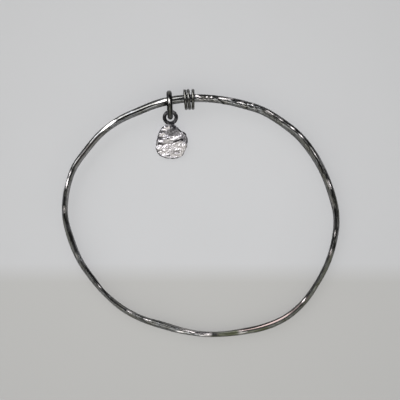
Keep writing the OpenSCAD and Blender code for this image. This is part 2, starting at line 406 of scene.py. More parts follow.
@dataclass(frozen=True)
class Silver:
    """Darkened silver, rubbed bright where it stands proud, with painted highlights, reflections and
    shade.

    Cloud, grain, fine and the depths are millimetres. Brushing is how many times longer the grain
    is along the wire, and the degrees that it slants.
    """

    name: str
    body: Colour
    warm: Colour
    dark: Colour
    # The colour of painted highlights
    painted_highlight: Colour = (0.93, 0.88, 0.88)
    olive: Colour = (0.076, 0.083, 0.042)
    # The colour of painted warm reflections
    rose: Colour = (0.20, 0.155, 0.148)
    gloss: float = 0.11
    dull: float = 0.34
    cloud: float = 2.4
    grain: float = 0.16
    grain_depth: float = 0.018
    pit_depth: float = 0.004
    speck: float = 0.0
    fine: float = 0.12
    brushing: Span = (4.5, 28.0)
    along: str | None = None

    def material(self) -> bpy.types.Material:
        """Builds the finish.

        Returns:
            The material.
        """
        made = bpy.data.materials.new(self.name)
        made.use_nodes = True
        n = Nodes(made.node_tree)
        place = n.place()
        clouds = n.noise(place, 1 / (self.cloud * MM), 4.0)
        fine = n.noise(place, 1 / (self.fine * MM), 3.0)
        if self.along is None:
            brushed = n.noise(place, 1 / (self.grain * MM), 2.0)
        else:
            along = n.drawn_out(n.stored(self.along, "Vector"), *self.brushing)
            brushed = n.noise(along, 1 / self.grain, 2.0)
        olive = n.times(n.stored(Tone.OLIVE.value), n.ranged(clouds, 0.25, 0.7, 0.55, 1.1))
        # Dark tone: oxide, painted shade and painted dark reflections
        skin = n.times(n.stored(Tone.DARK.value), n.ranged(clouds, 0.3, 0.7, 0.85, 1.25))
        # Painted highlights
        painted_shine = n.times(n.stored(Tone.BRIGHT.value), n.ranged(fine, 0.25, 0.6, 0.75, 1.15))
        colour = n.blended(n.ranged(clouds, 0.38, 0.66), self.body, self.warm)
        colour = n.blended(n.ranged(brushed, 0.5, 0.68, 0.0, self.speck), colour, self.dark)
        colour = n.blended(olive, colour, self.olive)
        # Painted pink of warm reflections
        colour = n.blended(n.stored(Tone.ROSE.value), colour, self.rose)
        colour = n.blended(skin, colour, self.dark)
        colour = n.blended(painted_shine, colour, self.painted_highlight)
        rough = n.blended(skin, self.gloss, self.dull)
        rough = n.blended(n.ranged(fine, 0.3, 0.8, 0.0, 0.3), rough, self.dull)
        rough = n.blended(painted_shine, rough, self.gloss * 2)
        coarse = n.ranged(n.stored(Tone.SMOOTH.value), 0.0, 1.0, 1.0, 0.12)
        relief = n.bump(n.times(brushed, coarse), self.grain_depth)
        relief = n.bump(fine, self.pit_depth, relief)
        shader = n.add("ShaderNodeBsdfPrincipled")
        n.join(colour, shader.inputs["Base Color"])
        n.join(rough, shader.inputs["Roughness"])
        n.join(n.blended(olive, 1.0, 0.2), shader.inputs["Metallic"])
        n.join(relief, shader.inputs["Normal"])
        n.join(shader.outputs["BSDF"], n.add("ShaderNodeOutputMaterial").inputs["Surface"])
        return made


@dataclass(frozen=True)
class Paper:
    """The pale matt sheet that the bangle lies on, darker below a soft line in the picture.

    That line lies between two y in millimetres, and painted shade darkens the sheet with the
    distance from the middle, as a lamp's light falls off.
    """

    name: str = "pale_sheet"
    pale: Colour = (0.560, 0.563, 0.576)
    lower: Colour = (0.470, 0.466, 0.456)
    falloff_and_mottle_grey: Colour = (0.40, 0.40, 0.40)
    meet_from: float = -13.0
    meet_to: float = -18.0
    painted_shade_from: float = 20.0
    painted_shade_to: float = 80.0
    painted_shade_share: float = 0.42
    cloud_share: float = 0.08

    def material(self) -> bpy.types.Material:
        """Builds the finish.

        Returns:
            The material.
        """
        made = bpy.data.materials.new(self.name)
        made.use_nodes = True
        n = Nodes(made.node_tree)
        place = n.place()
        parts = n.add("ShaderNodeSeparateXYZ")
        n.join(place, parts.inputs["Vector"])
        reach = n.add("ShaderNodeVectorMath", operation="LENGTH")
        n.join(place, reach.inputs[0])
        meet = n.ranged(parts.outputs["Y"], self.meet_from * MM, self.meet_to * MM)
        colour = n.blended(meet, self.pale, self.lower)
        # Painted shade that grows with the distance from the middle; the same grey gives the mottle
        far = (self.painted_shade_from * MM, self.painted_shade_to * MM, 0.0, self.painted_shade_share)
        colour = n.blended(n.ranged(reach.outputs["Value"], *far), colour, self.falloff_and_mottle_grey)
        clouds = n.ranged(n.noise(place, 60.0, 5.0), 0.2, 0.9, 0.0, self.cloud_share)
        colour = n.blended(clouds, colour, self.falloff_and_mottle_grey)
        shader = n.add("ShaderNodeBsdfPrincipled")
        shader.inputs["Roughness"].default_value = 0.9
        shader.inputs["Specular IOR Level"].default_value = 0.1
        n.join(colour, shader.inputs["Base Color"])
        n.join(n.bump(n.noise(place, 2500.0, 2.0), 0.01), shader.inputs["Normal"])
        n.join(shader.outputs["BSDF"], n.add("ShaderNodeOutputMaterial").inputs["Surface"])
        return made


FORGED = Silver(
    name="forged_silver",
    body=(0.27, 0.275, 0.285),
    warm=(0.21, 0.205, 0.185),
    dark=(0.016, 0.016, 0.016),
    grain=0.4,
    grain_depth=0.03,
    speck=0.7,
    along="wire_place",
)
RING = Silver(
    name="ring_silver",
    body=(0.30, 0.30, 0.29),
    warm=(0.25, 0.245, 0.21),
    dark=(0.012, 0.012, 0.013),
    gloss=0.14,
    dull=0.28,
    cloud=1.1,
    grain=0.3,
    grain_depth=0.008,
    pit_depth=0.003,
    speck=0.4,
)
MELTED = Silver(
    name="charm_silver",
    body=(0.96, 0.93, 0.97),
    warm=(0.84, 0.80, 0.88),
    dark=(0.026, 0.025, 0.028),
    gloss=0.17,
    dull=0.40,
    cloud=1.3,
    grain=0.3,
    grain_depth=0.03,
    pit_depth=0.012,
    speck=0.45,
)


# The hoop


def round_table(rows: np.ndarray, turn: np.ndarray) -> np.ndarray:
    """A smooth value between the rows of a table that goes once round.

    Args:
        rows: the table, whose first row is at 0 degrees.
        turn: the degrees to read it at.

    Returns:
        A value for each turn.
    """
    at = turn * len(rows) / 360
    i = np.floor(at).astype(int)
    f = at - i
    a, b, c, d = (rows[(i + k) % len(rows)] for k in (-1, 0, 1, 2))
    return b + f * (c - a + f * (2 * a - 5 * b + 4 * c - d + f * (3 * (b - c) + d - a))) / 2


@dataclass(frozen=True)
class Blow:
    """A hammer blow that leaves a flat on the wire.

    The face is the way it faces in the wire's section, in degrees from outward towards up, and the
    yaw is how far it is turned along the wire.
    """

    turn: float
    face: float
    depth: float
    dome: float = 34.0
    yaw: float = 0.0


# Flats, cuts and tones on the wire's upper side, placed after the photo. Some tones
# stand for its reflections, so they stay put when the light moves
BLOWS = (
    *(Blow(turn, 97, 0.05, 26) for turn in range(4, 62, 7)),
    *(Blow(turn, 80, 0.06, 26) for turn in range(244, 346, 6)),
    *(
        Blow(*row)
        for row in (
            (56.4, 71, 0.06, 12), (50.5, 71, 0.03, 5), (46.0, 71, 0.03, 3), (43.9, 71, 0.04, 6),
            (38.4, 71, 0.055, 4), (29.2, 72, 0.045, 8), (14.6, 72, 0.09, 5, 5),
            (7.6, 72, 0.08, 3, 8), (81.4, 74, 0.04, 14), (79.2, 72.5, 0.05, 14, 1),
            (77.2, 70.5, 0.06, 14, 1), (75.4, 69, 0.06, 10, 1), (71.0, 70, 0.06, 9),
            (65.3, 70, 0.05, 3), (109.0, 62, 0.06, 15), (134.8, 61, 0.07, 16),
            (162.1, 68, 0.04, 3, -6), (166.2, 70, 0.06, 7, -8), (177.3, 72, 0.1, 2.8, -13),
            (197.5, 76, 0.06, 8), (215.0, 108, 0.07, 2.7), (233.2, 109, 0.05, 2.4),
            (242.3, 109, 0.05, 2.0, 6), (259.7, 76, 0.07, 6), (263.3, 77, 0.05, 2.5),
            (264.8, 73, 0.05, 2), (266.8, 79, 0.05, 2.5), (263.8, 108, 0.09, 4),
            (266.8, 108, 0.09, 4), (272.0, 77, 0.07, 8), (271.9, 108, 0.1, 8),
            (321.6, 108, 0.05, 2.2), (344.5, 109, 0.05, 2.2, 5), (353.0, 109, 0.07, 2.4, 9),
        )
    ),
)

CUTS = strokes(
    (93.4, 0.9, 91.6, -0.1, 0.45, 0.14), (91.0, 0.9, 88.4, -0.6, 0.45, 0.14),
    (89.0, 0.9, 86.4, -0.6, 0.4, 0.12), (86.4, 0.9, 84.6, -0.5, 0.35, 0.08),
    (84.2, 0.7, 78.8, -0.8, 0.45, 0.2), (74.4, 0.9, 72.8, -0.3, 0.4, 0.1),
    (68.6, 0.9, 67.6, -0.6, 0.4, 0.14), (66.4, 0.9, 66.0, -0.2, 0.35, 0.1),
    (64.4, 0.9, 62.2, -0.7, 0.45, 0.14), (269.0, 0.8, 269.0, -0.8, 0.4, 0.06),
    (91.8, 0.0, 89.2, -0.8, 0.25, 0.06), (87.6, 0.1, 84.8, -0.8, 0.28, 0.08),
    (76.8, 0.1, 74.6, -0.6, 0.25, 0.06), (70.8, 0.0, 68.8, -0.7, 0.25, 0.06),
    (62.6, 0.4, 60.4, -0.5, 0.28, 0.07), (155.5, -0.98, 155.5, -0.98, 0.8, -0.1),
)

# Dark marks are partly oxide and partly painted shade and painted dark reflections; the dark patch
# marks the painted pink of warm reflections
# near 107 degrees is the jump ring's painted shadow. Bright marks are painted highlights, rose
TONES: dict[Tone, tuple[Mark, ...]] = {
    Tone.DARK: strokes(
        (61, 0.86, 27, 0.84, 0.62, 0.85), (61, 0.45, 34, 0.42, 0.75, 0.78),
        (34, 0.4, 24, 0.36, 0.6, 0.45), (27, 0.76, 6, 0.66, 0.8, 0.55),
        (30.5, 0.08, 22, -0.04, 0.42), (22, 0.0, 20.4, -0.15, 0.6),
        (19.6, 0.25, 16.4, 0.1, 0.45, 0.9), (12.4, 0.25, 8.8, 0.15, 0.5, 0.8),
        (6.6, 0.4, 0, 0.3, 0.5, 0.6), (3.6, -0.2, 0, -0.35, 0.6), (360, 0.88, 344, 0.88, 0.5, 0.85),
        (354.9, 0.45, 353.2, 0.1, 0.9, 0.95), (352.0, 0.3, 351.4, 0.1, 0.5, 0.9),
        (348.2, 0.5, 345.8, 0.4, 0.9, 0.9), (351.0, -0.5, 346.2, -0.52, 0.42, 0.85),
        (360, -0.25, 355.2, -0.25, 0.7), (358.5, -0.58, 345.5, -0.62, 0.6),
        (351.8, -0.1, 348.6, -0.15, 0.5, 0.8), (95, 0.78, 75, 0.78, 0.7, 0.88),
        (74, 0.84, 60, 0.84, 0.5, 0.8), (160, 0.94, 139, 0.94, 0.62, 0.9),
        (139, 0.98, 131, 0.98, 0.45, 0.9), (131.5, 0.93, 114, 0.95, 0.66, 0.92),
        (114, 0.98, 104, 0.98, 0.42, 0.92), (122.5, 0.78, 108.4, 0.78, 0.7, 0.85),
        (164.2, 0.8, 158.6, 0.82, 0.8), (104, 0.86, 97, 0.86, 0.7, 0.92),
        (104, 0.3, 97.5, 0.3, 0.7, 0.2), (79.0, 0.0, 73.5, 0.05, 0.5, 0.4),
        (63.5, -0.1, 58.5, -0.15, 0.9, 0.25), (241.0, -0.12, 238.6, -0.2, 0.5, 0.6),
        (104, -0.05, 98, -0.1, 0.4, 0.6), (131.5, 0.08, 120, 0.0, 0.55),
        (120, 0.0, 113.5, 0.1, 0.45), (158, 0.36, 140.5, 0.32, 0.24, 0.6),
        (158, -0.06, 139.8, -0.1, 0.42, 0.8), (108.6, -0.2, 106.4, -0.5, 0.8, 0.9),
        (182, 0.86, 169, 0.86, 0.6, 0.5), (180.6, 0.15, 178.8, 0.15, 0.6),
        (175.6, 0.2, 170.6, 0.3, 0.6), (175.8, -0.15, 175.0, -0.15, 0.4, 0.6),
        (196, -0.26, 181, -0.26, 0.8, 0.95), (203, -0.15, 199.6, -0.1, 0.5, 0.75),
        (220, -0.6, 203, -0.56, 0.6), (231.5, -0.24, 221, -0.18, 0.4, 0.75),
        (240, -0.9, 231, -0.9, 0.25, 0.8), (258, -0.92, 243, -0.92, 0.28, 0.8),
        (269.2, -0.7, 269.2, 0.1, 0.24, 0.8), (277.0, -0.05, 274.8, -0.25, 0.8),
        (262, -0.95, 244, -0.95, 0.3, 0.7), (256.5, 0.2, 240.5, 0.15, 1.2, 0.34),
        (319.5, -0.08, 289.5, -0.1, 0.44, 0.9), (319.4, -0.42, 313, -0.42, 0.5, 0.75),
        (261.5, -0.1, 257.5, -0.1, 0.4, 0.7), (339, -0.82, 319.5, -0.84, 0.42, 0.9),
        (320, -0.88, 290, -0.94, 0.42, 0.95), (333.5, -0.55, 323, -0.6, 0.6),
        (343, -0.48, 334.0, -0.55, 0.5, 0.85),
    ),
    Tone.OLIVE: strokes(
        (288.6, 0.1, 276, 0.1, 1.6), (292.6, 0.36, 289.2, 0.34, 1.0, 0.75),
        (300, 0.28, 292.6, 0.28, 1.2), (345, 0.4, 300, 0.3, 1.25, 0.55),
        (195, 0.8, 180, 0.8, 0.6, 0.6), (10, 0.7, 0, 0.7, 0.6, 0.6),
    ),
    Tone.ROSE: strokes(
        (322, -0.48, 289, -0.55, 0.7), (277, -0.1, 274, -0.2, 0.5, 0.7),
        (158, 0.12, 140, 0.1, 0.36, 0.8), (268.5, -0.4, 261.5, -0.45, 0.6, 0.6),
        (322.5, -0.25, 320.8, -0.35, 0.6, 0.9), (345.5, -0.15, 343.4, -0.3, 0.6, 0.9),
        (354.0, -0.2, 352.0, -0.35, 0.6, 0.9), (273.6, -0.3, 270.4, -0.35, 0.4, 0.6),
    ),
    Tone.BRIGHT: strokes(
        (58.4, 0.34, 54.8, 0.38, 0.56), (50.9, 0.36, 50.2, 0.38, 0.35, 0.6),
        (53.0, 0.58, 49.5, 0.6, 0.4, 0.3), (46.1, 0.38, 45.8, 0.38, 0.3, 0.6),
        (44.8, 0.4, 43.1, 0.44, 0.38), (38.9, 0.4, 38.0, 0.42, 0.36),
        (31.6, 0.3, 31.2, 0.3, 0.25, 0.4), (30.2, 0.32, 27.8, 0.28, 0.24, 0.45),
        (16.2, 0.1, 13.2, 0.16, 0.66), (18.2, 0.05, 17.8, 0.0, 0.25, 0.35),
        (8.2, 0.15, 7.4, 0.15, 0.42, 0.6), (92.7, 0.75, 91.0, 0.35, 0.42),
        (87.5, 0.3, 87.5, 0.3, 0.4), (85.4, 0.5, 85.2, 0.05, 0.38), (81.6, 0.4, 75.2, 0.72, 0.34),
        (72.3, 0.3, 69.8, 0.62, 0.4), (67.4, 0.65, 67.4, 0.65, 0.3, 0.7),
        (65.4, 0.8, 65.2, 0.42, 0.3), (92.3, 0.1, 89.8, -0.6, 0.18, 0.5),
        (84.9, 0.2, 83.0, -0.5, 0.18, 0.4), (70.2, 0.2, 69.0, -0.3, 0.18, 0.4),
        (90.0, 0.2, 88.2, -0.5, 0.18, 0.5), (87.0, -0.1, 85.8, -0.6, 0.16, 0.5),
        (79.6, 0.1, 77.5, -0.4, 0.16, 0.35), (64.4, 0.1, 63.2, -0.4, 0.16, 0.5),
        (162.6, 0.3, 161.6, 0.25, 0.4, 0.9), (167.6, 0.36, 164.8, 0.42, 0.56),
        (178.0, 0.14, 176.5, 0.16, 0.62), (111.8, 0.22, 106.5, 0.3, 0.45, 0.5),
        (138.0, 0.44, 131.9, 0.54, 0.5, 0.8), (158, -0.52, 140, -0.5, 0.5, 0.18),
        (9.0, -0.55, 5.0, -0.5, 0.5, 0.2), (198.6, 0.25, 196.4, 0.3, 0.35, 0.5),
        (215.3, -0.3, 214.6, -0.3, 0.54, 0.9), (233.6, -0.45, 232.8, -0.4, 0.38),
        (236.0, -0.7, 233.6, -0.5, 0.2, 0.5), (242.7, -0.46, 241.7, -0.34, 0.36),
        (260.8, 0.25, 258.4, 0.5, 0.36, 0.7), (267.8, -0.42, 266.0, -0.45, 0.35, 0.6),
        (264.6, -0.45, 262.6, -0.5, 0.35, 0.7), (266.0, 0.2, 266.0, 0.2, 0.28, 0.6),
        (264.0, 0.4, 264.0, 0.4, 0.28, 0.6), (263.0, 0.0, 263.0, 0.0, 0.28, 0.6),
        (267.0, -0.1, 267.0, -0.1, 0.28, 0.6), (268.4, -0.48, 259.0, -0.58, 0.55, 0.55),
        (274.2, -0.42, 269.9, -0.5, 0.45, 0.8), (273.6, 0.3, 270.4, 0.3, 0.6, 0.55),
        (273.4, -0.32, 270.6, -0.36, 0.3, 0.5), (289.0, 0.9, 288.9, -0.4, 0.2, 0.35),
        (178, -0.65, 166, -0.7, 0.6, 0.12), (290.6, 0.2, 290.6, 0.2, 0.28, 0.5),
        (291.8, 0.4, 291.8, 0.4, 0.28, 0.5), (322.2, -0.3, 320.9, -0.38, 0.34, 0.8),
        (344.8, -0.14, 344.0, -0.28, 0.28, 0.6), (353.4, -0.22, 352.5, -0.32, 0.34, 0.85),
    ),
    Tone.SMOOTH: strokes(
        (170, 0.0, 95, 0.0, 3.0), (322, -0.4, 290, -0.45, 0.9),
    ),
}


@dataclass
class Hoop:
    """The forged wire, closed and bent to an uneven oval, as it lies on the table.

    The tilt, the lift and the centre are those of the solid. Inside and thick go once round, in
    shares of the plain oval and of the wire's thickness. The side, under and outer darks are partly
    oxide and partly painted shade and painted dark reflections; each has a strength, and the pair
    beside it is where it starts and where it is full.
    """

    opening_length: float = 68.5
    opening_breadth: float = 59.2
    wire_thick: float = 2.0
    wire_height: float = 2.8
    squareness: float = 2.4
    stations: int = 1000
    around: int = 56
    fine_from: float = 60.0
    fine_to: float = 97.0
    fine_share: float = 3.0
    tilt: float = 2.04209
    lift: float = 2.53219
    lean_turn: float = 105.3
    centre: tuple[float, float] = (-0.150842, 0.964048)
    inside: tuple[float, ...] = (
        0.994, 0.973, 0.970, 0.974, 0.985, 0.989, 0.998, 0.992, 0.996, 0.999, 1.002, 1.004,
        1.002, 1.016, 1.022, 1.017, 1.026, 1.016, 1.004, 0.977, 0.968, 0.960, 0.968, 0.973,
        0.971, 0.961, 0.978, 1.000, 1.013, 1.024, 1.045, 1.060, 1.049, 1.027, 1.011, 1.001,
    )
    thick: tuple[float, ...] = (
        0.84, 0.95, 0.95, 1.04, 1.07, 1.06, 1.07, 1.08, 1.00, 1.02, 1.06, 1.08,
        1.02, 0.95, 0.88, 0.87, 0.84, 0.81, 0.78, 0.86, 0.80, 0.77, 0.70, 0.78,
        0.81, 0.93, 0.82, 0.72, 0.71, 0.82, 0.89, 0.84, 0.79, 0.72, 0.75, 0.75,
    )
    blank_radius: float = 30.0
    blank_wire: float = 1.0
    side_oxide_and_painted_dark: float = 0.8
    side_dark: Span = (0.66, 0.92)
    under_oxide_and_painted_shade: float = 0.5
    under_dark: Span = (0.4, 1.2)
    outer_oxide_and_painted_dark: float = 0.5
    outer_swing: float = 0.35
    outer_turn: float = 100.0
    outer_dark: Span = (50.0, 34.0)
    cut_dark: Span = (0.02, 0.09)
    forging: int = 120
    forging_depth: float = 0.16
    forging_dome: float = 34.0
    least_depth: float = 0.2
    depth_swing: float = 0.4
    depth_beat: float = 61.0
    place_swing: float = 0.4
    place_beat: float = 97.0
    golden_angle: float = 137.5
    blow_reach: float = 6.0

    def half_thick(self, turn: np.ndarray) -> np.ndarray:
        """Half the wire's thickness at each turn."""
        return round_table(np.array(self.thick), turn) * self.wire_thick / 2

    def middle(self, turn: np.ndarray) -> np.ndarray:
        """The wire's middle line.

        Args:
            turn: degrees round the hoop.

        Returns:
            One row of x and y for each turn.
        """
        a = np.radians(turn)
        oval = 1 / np.hypot(np.cos(a) * 2 / self.opening_length, np.sin(a) * 2 / self.opening_breadth)
        reach = oval * round_table(np.array(self.inside), turn) + self.half_thick(turn)
        return np.stack([reach * np.cos(a), reach * np.sin(a)], axis=1)

    def heading(self, turn: np.ndarray) -> np.ndarray:
        """The way along the wire at each turn, as rows of x and y."""
        way = self.middle(turn + 0.5) - self.middle(turn - 0.5)
        return way / np.linalg.norm(way, axis=1, keepdims=True)

    def length_to(self, turn: np.ndarray) -> np.ndarray:
        """Length of wire from turn 0 to each turn, in millimetres."""
        # A mark every quarter of a degree, from half a turn before the hoop to half a turn after
        marks = np.linspace(-180, 540, 2881)
        line = self.middle(marks)
        run = np.concatenate([[0], np.cumsum(np.linalg.norm(np.diff(line, axis=0), axis=1))])
        return np.interp(turn, marks, run - np.interp(0, marks, run))

    def spread(self, share: np.ndarray) -> np.ndarray:
        """Turns of the sections, closer together on the chased stretch.

        Args:
            share: how far round each section comes, from 0 to 1.

        Returns:
            The turns in degrees.
        """
        turns = np.array([0, self.fine_from, self.fine_to, 360.0])
        weight = np.array([1, self.fine_share, 1])
        count = np.concatenate([[0], np.cumsum(np.diff(turns) * weight)])
        return np.interp(share, count / count[-1], turns)

    def support(self, face: float, half: np.ndarray) -> np.ndarray:
        """How far the plain section reaches in a direction.

        Args:
            face: degrees from outward towards up.
            half: half the wire's thickness.

        Returns:
            The reach for each half thickness.
        """
        q = self.squareness / (self.squareness - 1)
        a = math.radians(face)
        wide = (half * abs(math.cos(a))) ** q
        high = (self.wire_height / 2 * abs(math.sin(a))) ** q
        return (wide + high) ** (1 / q)

    def hammer(self, local: np.ndarray, half: np.ndarray, blow: Blow, fresh: bool) -> None:
        """Presses one flat into the wire.

        Args:
            local: points as length, outward and up, changed in place.
            half: half the wire's thickness at each point.
            blow: the blow.
            fresh: whether its depth counts from the plain wire, not from the wire as it stands.
        """
        spot, total = self.length_to(np.array([blow.turn % 360, 360.0]))
        away = (local[:, 0] - spot + total / 2) % total - total / 2
        near = np.abs(away) < self.blow_reach
        a, b = math.radians(blow.face), math.radians(blow.yaw)
        way = np.array([math.sin(b), math.cos(a) * math.cos(b), math.sin(a) * math.cos(b)])
        stand = away[near] * way[0] + local[near, 1] * way[1] + local[near, 2] * way[2]
        dome = away[near] ** 2 / (2 * blow.dome)
        reach = self.support(blow.face, half[near]) if fresh else (stand - dome).max()
        local[near] -= np.maximum(stand - dome - reach + blow.depth, 0)[:, None] * way

    def forge(self, local: np.ndarray, half: np.ndarray) -> None:
        """Hammers the wire all round, with blows spread by the golden angle.

        Args:
            local: points as length, outward and up, changed in place.
            half: half the wire's thickness at each point.
        """
        for k in range(self.forging):
            stray = self.place_swing * math.sin(math.radians(k * self.place_beat))
            beat = math.sin(math.radians(k * self.depth_beat))
            depth = self.forging_depth * (self.least_depth + self.depth_swing * (1 + beat))
            face = k * self.golden_angle % 360
            blow = Blow((k + stray) * 360 / self.forging, face, depth, self.forging_dome)
            self.hammer(local, half, blow, fresh=True)
        for blow in BLOWS:
            self.hammer(local, half, blow, fresh=False)

    def off_mark(self, local: np.ndarray, half: np.ndarray, mark: Mark) -> np.ndarray:
        """How far each point lies from a mark on the wire's upper side.

        Args:
            local: points as length, outward and up.
            half: half the wire's thickness at each point.
            mark: the mark.

        Returns:
            Millimetres from the mark, and a big number below the wire's middle.
        """
        ends = self.length_to(np.array([mark.from_along, mark.to_along]))
        start = np.column_stack([np.full(len(half), ends[0]), mark.from_across * half])
        end = np.column_stack([np.full(len(half), ends[1]), mark.to_across * half])
        return off_line(local[:, :2], start, end) + OUT_OF_REACH * (local[:, 2] < 0)

    def chase(self, local: np.ndarray, half: np.ndarray, skin: Skin) -> None:
        """Cuts the chisel and punch marks, which keep dark skin in them, and tones the wire.

        Args:
            local: points as length, outward and up, changed in place.
            half: half the wire's thickness at each point.
            skin: the tones to lay on.
        """
        for mark in CUTS:
            off = self.off_mark(local, half, mark)
            move = mark.carve(off)
            way = local[:, 1:] / np.linalg.norm(local[:, 1:], axis=1, keepdims=True)
            local[:, 1:] -= way * move[:, None]
            skin.lay(Tone.DARK, step(move, *self.cut_dark))
        for tone, marks in TONES.items():
            for mark in marks:
                skin.lay(tone, mark.tint(self.off_mark(local, half, mark)))

    def weather(self, local: np.ndarray, turn: np.ndarray, half: np.ndarray, skin: Skin) -> None:
        """Darkens both sides, most outside, and underneath: oxide, painted shade, painted dark
        reflection.

        Args:
            local: points as length, outward and up.
            turn: each point's turn.
            half: half the wire's thickness at each point.
            skin: the tones to lay on.
        """
        face = np.degrees(np.arctan2(local[:, 2] / self.wire_height * 2, local[:, 1] / half))
        # Outside and on the sides, painted dark reflection that swings with the turn; underneath,
        # painted shade
        strength = self.outer_oxide_and_painted_dark + self.outer_swing * np.cos(np.radians(turn - self.outer_turn))
        skin.lay(Tone.DARK, step(np.abs(face), *self.outer_dark) * strength)
        skin.lay(Tone.DARK, step(-local[:, 2], *self.under_dark) * self.under_oxide_and_painted_shade)
        skin.lay(Tone.DARK, step(np.abs(local[:, 1]) / half, *self.side_dark) * self.side_oxide_and_painted_dark)

    def lay(self, local: np.ndarray, turn: np.ndarray, start: np.ndarray) -> np.ndarray:
        """Bends the wire to its oval and lays it on the table and the jump ring.

        Args:
            local: points as length, outward and up.
            turn: each point's turn.
            start: the length at each point's section.

        Returns:
            The points in the frame, in millimetres.
        """
        way = self.heading(turn)
        out = np.stack([way[:, 1], -way[:, 0]], axis=1)
        flat = self.middle(turn) + out * local[:, 1:2] + way * (local[:, 0] - start)[:, None]
        lean, tilt = math.radians(self.lean_turn), math.radians(self.tilt)
        lean_way = np.array([math.cos(lean), math.sin(lean)])
        away = flat @ lean_way
        shift = away * (math.cos(tilt) - 1) - local[:, 2] * math.sin(tilt)
        flat = flat + shift[:, None] * lean_way - np.array(self.centre)
        high = self.lift + away * math.sin(tilt) + local[:, 2] * math.cos(tilt)
        return np.column_stack([flat, high])

    def build(self) -> None:
        """Makes the hoop: a plain ring of wire, forged, chased, bent and darkened."""
        deselect()
        bpy.ops.mesh.primitive_torus_add(
            major_segments=self.stations,
            minor_segments=self.around,
            major_radius=self.blank_radius * MM,
            minor_radius=self.blank_wire * MM,
        )
        obj = bpy.context.active_object
        obj.name = obj.data.name = "forged_hoop"
        start = read_points(obj)
        share = np.degrees(np.arctan2(start[:, 1], start[:, 0])) / 360 % 1
        angle = np.arctan2(start[:, 2], np.hypot(start[:, 0], start[:, 1]) - self.blank_radius)
        turn = self.spread(np.round(share * self.stations) % self.stations / self.stations)
        half = self.half_thick(turn)
        length = self.length_to(turn)
        power = 2 / self.squareness
        wide = half * np.sign(np.cos(angle)) * np.abs(np.cos(angle)) ** power
        high = self.wire_height / 2 * np.sign(np.sin(angle)) * np.abs(np.sin(angle)) ** power
        local = np.stack([length, wide, high], axis=1)
        skin = Skin(len(local))
        self.forge(local, half)
        self.chase(local, half, skin)
        self.weather(local, turn, half, skin)
        skin.write(obj)
        write_place(obj, "wire_place", local)
        write_points(obj, self.lay(local, turn, length))
        obj.data.materials.append(FORGED.material())
        finish_piece(obj, "hoop")


# Rings


@dataclass(frozen=True)
class Place:
    """Where a ring stands: its name, its CAD node, how far its seam is turned round it, its lean."""

    name: str
    node: str
    spin: float
    lean: float


